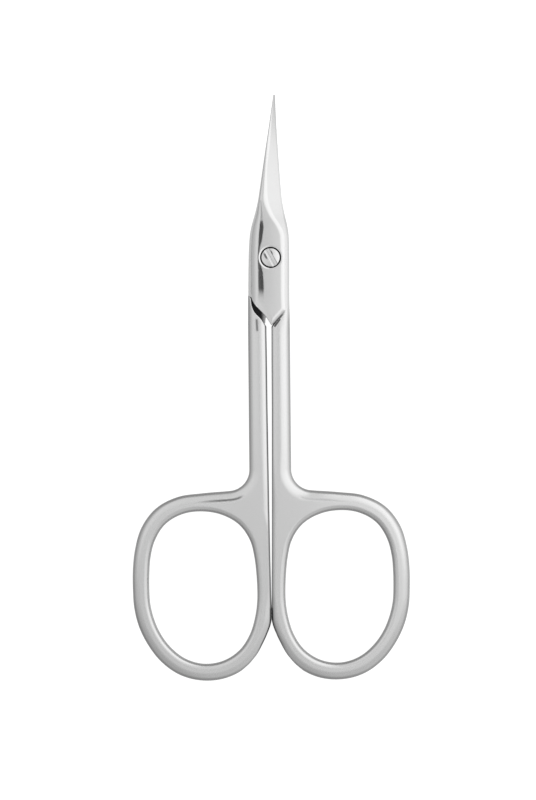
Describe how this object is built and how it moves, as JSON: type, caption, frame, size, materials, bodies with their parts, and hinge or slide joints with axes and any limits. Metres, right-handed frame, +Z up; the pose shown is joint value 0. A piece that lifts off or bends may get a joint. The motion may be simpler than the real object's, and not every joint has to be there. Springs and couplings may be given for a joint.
{
  "type": "cuticle scissors",
  "caption": "Slim steel cuticle scissors with tapered, upturned blades, a slotted pivot screw and oval finger rings.",
  "frame": {"origin": "on the pivot's axis, in the outer face of the back plate, which is the face the scissors lie on", "axes": "+X across the handles towards the front half's ring, +Y along the scissors towards the tips, +Z up out of the screw's head"},
  "size_m": [0.0444, 0.0936, 0.006],
  "materials": {
    "halves": "satin polished stainless steel",
    "screw": "polished stainless steel"
  },
  "bodies": {
    "back": {"back_half": "halves", "pivot_screw": "screw"},
    "front": {"front_half": "halves"}
  },
  "joints": [
    {"name": "pivot", "type": "hinge", "parent": "back", "child": "front", "pos_m": [0, 0, 0.0017], "axis": [0, 0, 1], "range_deg": [0, 120]}
  ]
}
